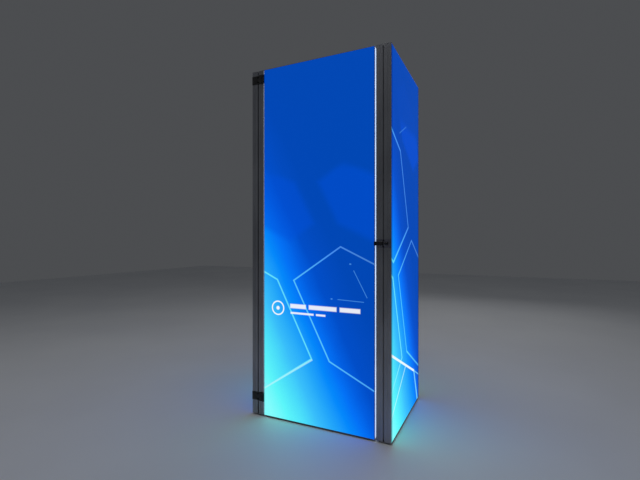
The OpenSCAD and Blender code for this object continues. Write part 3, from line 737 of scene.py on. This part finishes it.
def cut_through(piece, point, normal):
    """Cuts a piece all the way through along a plane, so that edges lie there."""
    only(piece)
    bpy.ops.object.mode_set(mode="EDIT")
    bpy.ops.mesh.select_all(action="SELECT")
    bpy.ops.mesh.bisect(plane_co=point, plane_no=normal)
    bpy.ops.object.mode_set(mode="OBJECT")


def apply_modifier(piece, kind, **settings):
    """Adds a modifier with its settings and applies it."""
    only(piece)
    made = piece.modifiers.new(kind.lower(), kind)
    for key, value in settings.items():
        setattr(made, key, value)
    bpy.ops.object.modifier_apply(modifier=made.name)


def settle(piece, name, material, body):
    """Names a finished piece, puts its place into its mesh, and lets it ride."""
    only(piece)
    bpy.ops.object.transform_apply(location=True, rotation=True, scale=True)
    bpy.ops.object.shade_smooth_by_angle(angle=math.radians(35))
    piece.name = name
    piece.data.name = name
    if not piece.data.materials:
        piece.data.materials.append(material)
    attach(piece, body)
    return piece


print("modelling helpers are ready")

# %% [markdown]
# ## Hardware with eased edges
# The hinges, the bolt's housing and keeper, the glides and the other small fittings are cast,
# folded or turned, and no real edge on them is sharp. Their shapes are right in the CAD, so
# each is copied, its loose triangles are merged into whole faces, and a bevel rounds every
# edge by half a millimetre or so. A rounded edge catches a thin line of light, and that is
# what makes black metal read as solid.

# %% Eased copies of the small fittings
def merged_copy(node, name):
    """A copy of a CAD piece, with its triangles merged into flat faces."""
    copy = bpy.data.objects.new(name, NODES[node].data.copy())
    bpy.context.scene.collection.objects.link(copy)
    copy.data.materials.clear()
    only(copy)
    bpy.ops.object.mode_set(mode="EDIT")
    bpy.ops.mesh.select_all(action="SELECT")
    bpy.ops.mesh.remove_doubles(threshold=0.01 * MM)
    bpy.ops.mesh.dissolve_limited(angle_limit=math.radians(1))
    bpy.ops.object.mode_set(mode="OBJECT")
    return copy


def ease_edges(piece, width, segments=2):
    """Rounds every edge that turns by more than 32 degrees."""
    apply_modifier(
        piece, "BEVEL", width=width, segments=segments, limit_method="ANGLE",
        angle_limit=math.radians(32), use_clamp_overlap=True,
    )


EASED = {
    "upper_hinge_bracket": 0.7, "lower_hinge_bracket": 0.7, "upper_hinge_leaf": 0.5,
    "lower_hinge_leaf": 0.5, "upper_hinge_pin": 0.35, "lower_hinge_pin": 0.35,
    "bolt_housing": 0.8, "bolt_keeper": 0.7, "header_tie": 0.5, "threshold": 0.5,
    "rear_link_plates": 0.5, "left_glides": 1.0, "right_glides": 1.0, "back_glides": 1.0,
    "door_bumpers": 0.6, "power_inlet": 1.2,
}
for node, width in EASED.items():
    copy = merged_copy(node, node + "_eased")
    ease_edges(copy, width * MM)
    settle(copy, node + "_eased", finish_of(node), BODY_OF[node])
    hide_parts(node)
print("eased", len(EASED), "fittings")

# %% [markdown]
# ### The bolt's base plate
# The base plate and the guide on it are two pressings with two finishes: the plate is dark
# anodised aluminium, near the colour of the upright, and the guide is powder coated. They are
# one piece in the CAD, so the plate's faces are found by their depth and get a second slot.

# %% Second finish on the bolt's base plate
PLATE_T = 3 * MM
outside_plate = FRONT - PLATE_T - 0.1 * MM
housing = bpy.data.objects["bolt_housing_eased"]
housing.data.materials.append(PLATE_ALLOY)
plate_faces = [face for face in housing.data.polygons if face.center.y > outside_plate]
for face in plate_faces:
    face.material_index = 1
print(len(plate_faces), "faces of the base plate")

# %% [markdown]
# ### Screws with sockets
# Each fitting is held by button-head screws, and a screw is known by its socket. The heads are
# found on the merged copies as the round flat faces of the right size. A short six-sided prism
# is set into each, and one Boolean cuts them all.

# %% Sockets in the screw heads
HEAD_R = 4.5 * MM
SOCKET_R = 1.75 * MM
CUTTER_L = 3 * MM         # half of it goes into the head


def head_faces(piece):
    """(centre, normal) of each round flat face as wide as a screw head."""
    whole = math.pi * HEAD_R ** 2
    return [
        (face.center.copy(), face.normal.copy()) for face in piece.data.polygons
        if len(face.vertices) >= 12 and 0.9 * whole < face.area < 1.02 * whole
    ]


for node in ("carcass_screws", "door_screws"):
    screws = merged_copy(node, node + "_socketed")
    heads = head_faces(screws)
    ease_edges(screws, 0.55 * MM, 3)
    cutters = []
    for centre, normal in heads:
        bpy.ops.object.select_all(action="DESELECT")
        bpy.ops.mesh.primitive_cylinder_add(
            vertices=6, radius=SOCKET_R, depth=CUTTER_L, location=centre,
            rotation=normal.to_track_quat("Z", "Y").to_euler(),
        )
        cutters.append(bpy.context.object)
    only(cutters[0])
    for cutter in cutters:
        cutter.select_set(True)
    bpy.ops.object.join()
    cutter = bpy.context.object
    apply_modifier(screws, "BOOLEAN", operation="DIFFERENCE", object=cutter, solver="EXACT")
    bpy.data.objects.remove(cutter)
    settle(screws, node + "_socketed", SCREW_STEEL, BODY_OF[node])
    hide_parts(node)
    print(node, "has", len(heads), "heads")

# %% [markdown]
# ### The bolt's rod and knob
# The knob is turned and then knurled, so that a finger can draw it. A cylinder is cut round
# near both ends to leave two plain rims, and between them every other side face is set in to
# make a flute. The end is dished. The rod is a plain bar with a rounded tip that finds the
# keeper.

# %% Turned rod and knurled knob
low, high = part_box("bolt_rod")
axis_y, axis_z = (low.y + high.y) / 2, (low.z + high.z) / 2
knob_r = (high.y - low.y) / 2 - 0.02 * MM   # a hair inside the box it is given
knob_l, rod_r = 13 * MM, 4 * MM
knob_middle = high.x - knob_l / 2
KNOB_SIDES = 60
RIM = 2.5 * MM
FLUTE_DEPTH = 0.5 * MM
DISH_DEPTH = 0.7 * MM
ROD_IN_KNOB = 1 * MM
ACROSS = (0, math.pi / 2, 0)

bpy.ops.object.select_all(action="DESELECT")
bpy.ops.mesh.primitive_cylinder_add(
    vertices=KNOB_SIDES, radius=knob_r, depth=knob_l, rotation=ACROSS,
    location=(knob_middle, axis_y, axis_z),
)
knob = bpy.context.object
only(knob)
bpy.ops.object.transform_apply(location=True, rotation=True)
for inward in (RIM, knob_l - RIM):
    cut_through(knob, (high.x - inward, 0, 0), (1, 0, 0))


def in_flute(corners):
    """True for every other side face between the rims."""
    middle = sum(corners, Vector()) / len(corners)
    if len(corners) != 4 or abs(middle.x - knob_middle) > 1 * MM:
        return False
    angle = math.atan2(middle.z - axis_z, middle.y - axis_y) % (2 * math.pi)
    return int(angle / (2 * math.pi / KNOB_SIDES)) % 2 == 0


flutes = pick(knob, "polygons", in_flute)
bpy.ops.mesh.inset(thickness=0.12 * MM, depth=-FLUTE_DEPTH, use_individual=True)
bpy.ops.object.mode_set(mode="OBJECT")
pick(knob, "polygons", lambda c: len(c) > 20 and c[0].x > high.x - 0.1 * MM)
bpy.ops.mesh.inset(thickness=2.2 * MM)
bpy.ops.mesh.inset(thickness=0.6 * MM, depth=-DISH_DEPTH)
bpy.ops.object.mode_set(mode="OBJECT")
apply_modifier(
    knob, "BEVEL", width=0.5 * MM, segments=2, limit_method="ANGLE", angle_limit=math.radians(60)
)

bpy.ops.object.select_all(action="DESELECT")
rod_l = high.x - knob_l - low.x + ROD_IN_KNOB
bpy.ops.mesh.primitive_cylinder_add(
    vertices=48, radius=rod_r, depth=rod_l, rotation=ACROSS,
    location=(low.x + rod_l / 2, axis_y, axis_z),
)
rod = bpy.context.object
apply_modifier(
    rod, "BEVEL", width=1 * MM, segments=3, limit_method="ANGLE", angle_limit=math.radians(60)
)
only(knob)
rod.select_set(True)
bpy.ops.object.join()
settle(knob, "bolt_rod_turned", ROD_STEEL, "bolt")
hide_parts("bolt_rod")
print("knob with", flutes, "flutes")

# %% [markdown]
# ## Cloth with a tucked edge
# A silicone strip is sewn to the edge of the cloth and pressed into a channel in the frame, and
# that pulls the cloth flat as a drum. So the sheet is a flat grid, its border turns back into
# the channel, the turn is a small round, and the whole has the thickness of the cloth. The
# strip itself is a ring behind the turned border. The grid has a very shallow pucker beside
# the frame, where real cloth never pulls quite even.

# %% Tucked sheets and their beads
CLOTH = 0.7 * MM
TURN_R = 1.2 * MM
BEAD_T = 2.1 * MM
BEAD_NEAR = 2 * MM         # how far behind the face the bead starts
BEAD_INSET = CLOTH + 0.1 * MM
PUCKER = 0.25 * MM
PUCKER_WAVE = 130 * MM     # one wave along the frame
PUCKER_FALL = 40 * MM      # how fast it dies out towards the middle
TOUCH = 0.01 * MM
# The turn about Z with which a cloth that faces -Y faces out of its panel.
OUTWARD = {"left": -math.pi / 2, "right": math.pi / 2, "back": math.pi, "door": 0.0}


def flat_cloth(width, height):
    """An upright grid, facing -Y, centred on the origin."""
    bpy.ops.object.select_all(action="DESELECT")
    bpy.ops.mesh.primitive_grid_add(
        x_subdivisions=24, y_subdivisions=72, size=1, rotation=(math.pi / 2, 0, 0)
    )
    cloth = bpy.context.object
    only(cloth)
    bpy.ops.object.transform_apply(rotation=True)
    cloth.scale = (width, 1, height)
    bpy.ops.object.transform_apply(scale=True)
    return cloth


def on_border(corners, width, height):
    """True for an edge that lies on the rim of the flat cloth."""
    upright = all(abs(abs(c.x) - width / 2) < TOUCH for c in corners)
    level = all(abs(abs(c.z) - height / 2) < TOUCH for c in corners)
    return upright or level


def pucker(cloth, width, height):
    """Presses shallow waves into the grid beside the frame, none at the rim itself."""
    for vertex in cloth.data.vertices:
        from_side = width / 2 - abs(vertex.co.x)
        from_end = height / 2 - abs(vertex.co.z)
        if min(from_side, from_end) < 1 * MM:
            continue
        up_wave = 0.5 + 0.5 * math.cos(vertex.co.z * 2 * math.pi / PUCKER_WAVE)
        level_wave = 0.5 + 0.5 * math.cos(vertex.co.x * 2 * math.pi / PUCKER_WAVE)
        press = math.exp(-from_side / PUCKER_FALL) * up_wave
        press += math.exp(-from_end / PUCKER_FALL) * level_wave
        vertex.co.y += PUCKER * press


def place_cloth(cloth, turn, centre):
    """Turns a cloth that faces -Y to its face, and moves it there."""
    only(cloth)
    cloth.rotation_euler = (0, 0, turn)
    cloth.location = centre
    bpy.ops.object.transform_apply(location=True, rotation=True)


def tucked_sheet(width, height, tuck):
    """A cloth whose whole border turns back by the tuck."""
    cloth = flat_cloth(width, height)
    pucker(cloth, width, height)
    pick(cloth, "edges", lambda c: on_border(c, width, height))
    bpy.ops.mesh.extrude_region_move(TRANSFORM_OT_translate={"value": (0, tuck, 0)})
    bpy.ops.object.mode_set(mode="OBJECT")
    pick(
        cloth, "edges",
        lambda c: on_border(c, width, height) and all(abs(p.y) < TOUCH for p in c),
    )
    bpy.ops.mesh.bevel(offset=TURN_R, segments=3, affect="EDGES")
    bpy.ops.mesh.select_all(action="SELECT")
    bpy.ops.mesh.normals_make_consistent(inside=False)
    bpy.ops.object.mode_set(mode="OBJECT")
    return cloth


def face_outwards(cloth):
    """Turns the faces over if the flat part looks into the panel."""
    front = [p for p in cloth.data.polygons if abs(p.normal.y) > 0.9]
    if sum(p.normal.y * p.area for p in front) > 0:
        only(cloth)
        bpy.ops.object.mode_set(mode="EDIT")
        bpy.ops.mesh.select_all(action="SELECT")
        bpy.ops.mesh.flip_normals()
        bpy.ops.object.mode_set(mode="OBJECT")


def bead_ring(width, height, far):
    """A rectangular ring of bead, that reaches far behind the face of the cloth."""
    bpy.ops.object.select_all(action="DESELECT")
    bpy.ops.mesh.primitive_plane_add(size=1, rotation=(math.pi / 2, 0, 0))
    ring = bpy.context.object
    only(ring)
    bpy.ops.object.transform_apply(rotation=True)
    ring.scale = (width, 1, height)
    bpy.ops.object.transform_apply(scale=True)
    pick(ring, "polygons", lambda c: True)
    bpy.ops.mesh.inset(thickness=BEAD_T)
    bpy.ops.mesh.delete(type="FACE")
    bpy.ops.mesh.select_all(action="SELECT")
    bpy.ops.mesh.extrude_region_move(TRANSFORM_OT_translate={"value": (0, far - BEAD_NEAR, 0)})
    bpy.ops.mesh.select_all(action="SELECT")
    bpy.ops.transform.translate(value=(0, BEAD_NEAR, 0))
    bpy.ops.mesh.normals_make_consistent(inside=False)
    bpy.ops.object.mode_set(mode="OBJECT")
    apply_modifier(ring, "BEVEL", width=0.5 * MM, segments=2, limit_method="ANGLE")
    return ring


def outer_face(node, turn):
    """Middle of a sheet's outer face, its width, its height and its whole depth."""
    low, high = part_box(node)
    size = high - low
    out = Vector((math.sin(turn), -math.cos(turn), 0))
    middle = (low + high) / 2
    sideways = abs(out.x) > 0.5
    depth = size.x if sideways else size.y
    width = size.y if sideways else size.x
    return middle + out * depth / 2, width, size.z, depth


def hang_sheet(node, turn, material):
    """A tucked sheet with its bead, in place of the plain CAD sheet."""
    centre, width, height, depth = outer_face(node, turn)
    cloth = tucked_sheet(width, height, depth)
    face_outwards(cloth)
    apply_modifier(cloth, "SOLIDIFY", thickness=CLOTH, offset=-1)
    place_cloth(cloth, turn, centre)
    bead = bead_ring(width - 2 * BEAD_INSET, height - 2 * BEAD_INSET, depth)
    place_cloth(bead, turn, centre)
    body = BODY_OF[node]
    settle(cloth, node + "_cloth", material, body)
    settle(bead, node + "_bead", SILICONE, body)
    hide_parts(node)
    return cloth


PRINTS = {"left": LEFT_PRINT, "right": RIGHT_PRINT, "back": BACK_PRINT}
for panel, material in PRINTS.items():
    hang_sheet(panel + "_graphic", OUTWARD[panel], material)
for panel, turn in OUTWARD.items():
    hang_sheet(panel + "_liner", turn + math.pi, LINER_CLOTH)
print("seven tucked sheets")

# %% [markdown]
# ## The door's wrapped cloth
# The door's picture has no metal beside it: the cloth runs round the upright edges as a white
# hem, over the lit strips, and its bead goes into a channel in the side of the bar. Top and
# bottom are tucked like the others. The sheet starts flat, is cut across where the hem and the
# beads begin, and each border is turned back by extruding it.

# %% Wrapped sheet
def turn_back(piece, test, moves):
    """Extrudes the picked border edges through each move in turn."""
    count = pick(piece, "edges", test)
    for move in moves:
        bpy.ops.mesh.extrude_region_move(TRANSFORM_OT_translate={"value": move})
    bpy.ops.object.mode_set(mode="OBJECT")
    return count


low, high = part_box("door_graphic")
door_w, door_h, hem_depth = high.x - low.x, high.z - low.z, high.y - low.y
rail_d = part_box("door_hinge_stile")[1].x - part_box("door_hinge_stile")[0].x
hem_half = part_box("door_edge_diffusers")[1].z - (low.z + high.z) / 2
bead_half = (TOP - FOOT) / 2 - rail_d
front_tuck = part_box("left_graphic")[1].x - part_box("left_graphic")[0].x
hem_turn = 12 * MM
hem_back = hem_depth - 0.1 * MM
hem_from_edge, hem_behind = 2 * MM, 1.6 * MM   # past the round turn, the cloth isn't printed

door_cloth = flat_cloth(door_w, door_h)
pucker(door_cloth, door_w, door_h)
for level in (hem_half, bead_half):
    cut_through(door_cloth, (0, 0, level), (0, 0, 1))
    cut_through(door_cloth, (0, 0, -level), (0, 0, 1))
for across in (door_w / 2 - rail_d, rail_d - door_w / 2):
    cut_through(door_cloth, (across, 0, 0), (1, 0, 0))
CLOSE = 0.05 * MM
for side in (-1, 1):
    turn_back(
        door_cloth,
        lambda c: all(
            abs(p.x - side * door_w / 2) < CLOSE and abs(p.z) < hem_half + CLOSE for p in c
        ),
        [(0, hem_back, 0)],
    )
    turn_back(
        door_cloth,
        lambda c: all(
            abs(p.y - hem_back) < CLOSE and abs(p.z) < bead_half + CLOSE and p.x * side > 0
            for p in c
        ),
        [(-side * hem_turn, 0, 0)],
    )
    turn_back(
        door_cloth,
        lambda c: all(
            abs(p.z - side * door_h / 2) < CLOSE and abs(p.x) < door_w / 2 - rail_d + CLOSE
            and abs(p.y) < CLOSE
            for p in c
        ),
        [(0, front_tuck, 0)],
    )
fold_edges = pick(
    door_cloth, "edges",
    lambda c: all(abs(p.y) < CLOSE for p in c)
    and (
        all(abs(abs(p.x) - door_w / 2) < CLOSE and abs(p.z) < hem_half + CLOSE for p in c)
        or all(abs(abs(p.z) - door_h / 2) < CLOSE and abs(p.x) < door_w / 2 - rail_d + CLOSE for p in c)
    ),
)
bpy.ops.mesh.bevel(offset=TURN_R, segments=3, affect="EDGES")
bpy.ops.mesh.select_all(action="SELECT")
bpy.ops.mesh.normals_make_consistent(inside=False)
bpy.ops.object.mode_set(mode="OBJECT")
face_outwards(door_cloth)
apply_modifier(door_cloth, "SOLIDIFY", thickness=CLOTH, offset=-1)
door_cloth.data.materials.append(DOOR_PRINT)
door_cloth.data.materials.append(HEM_CLOTH)
for face in door_cloth.data.polygons:
    at_side = abs(face.center.x) > door_w / 2 - hem_from_edge
    face.material_index = int(at_side and face.center.y > hem_behind)
place_cloth(door_cloth, 0.0, ((low.x + high.x) / 2, low.y, (low.z + high.z) / 2))
settle(door_cloth, "door_graphic_cloth", DOOR_PRINT, "door")
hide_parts("door_graphic")
print("wrapped sheet:", fold_edges, "edges turned")

# %% [markdown]
# ### The door cloth's beads
# Two upright beads lie behind the hem, in the side channels, and two level ones in the top and
# bottom channels. Each is a bar with softened edges.

# %% Door beads
def bead_bar(name, low_corner, high_corner):
    """A straight bead between two corners, with rounded edges."""
    low_corner, high_corner = Vector(low_corner), Vector(high_corner)
    bpy.ops.object.select_all(action="DESELECT")
    bpy.ops.mesh.primitive_cube_add(size=1, location=(low_corner + high_corner) / 2)
    bar = bpy.context.object
    bar.scale = high_corner - low_corner
    only(bar)
    bpy.ops.object.transform_apply(location=True, scale=True)
    apply_modifier(bar, "BEVEL", width=0.6 * MM, segments=2, limit_method="ANGLE")
    return settle(bar, name, SILICONE, "door")


SIDE_BEAD = (2 * MM, 13 * MM)   # where it starts and ends, inwards from the door's edge
side_bead_back = high.y - CLOTH - 0.2 * MM
for side, edge in (("hinge", low.x), ("latch", high.x)):
    into = 1 if side == "hinge" else -1
    ends = sorted(edge + into * reach for reach in SIDE_BEAD)
    bead_bar(
            f"door_{side}_bead",
            (ends[0], side_bead_back - BEAD_T, FOOT + rail_d),
            (ends[1], side_bead_back, TOP - rail_d),
        )
for end, level, into in (("bottom", low.z, 1), ("top", high.z, -1)):
    ends = sorted([level + into * BEAD_INSET, level + into * (BEAD_INSET + BEAD_T)])
    bead_bar(
            f"door_{end}_bead",
            (low.x + rail_d, low.y + BEAD_NEAR, ends[0]),
            (high.x - rail_d, low.y + front_tuck, ends[1]),
        )
print("four door beads")

# %% [markdown]
# ## The floor's paint, and the end
# The floor is painted concrete: pale, nearly even, and matt enough that it takes the tower's
# glow as a soft pool and not as a mirror does.

# %% Floor finish
floor_paint, tree, shader, place = new_material("pale_floor_paint", Roughness=0.55)
shade = clouded(tree, place, [1.4, 1.4, 1.4], "#e2e4e7", "#e8eaec")
tree.links.new(shade, shader.inputs["Base Color"])
floor.data.materials.append(floor_paint)
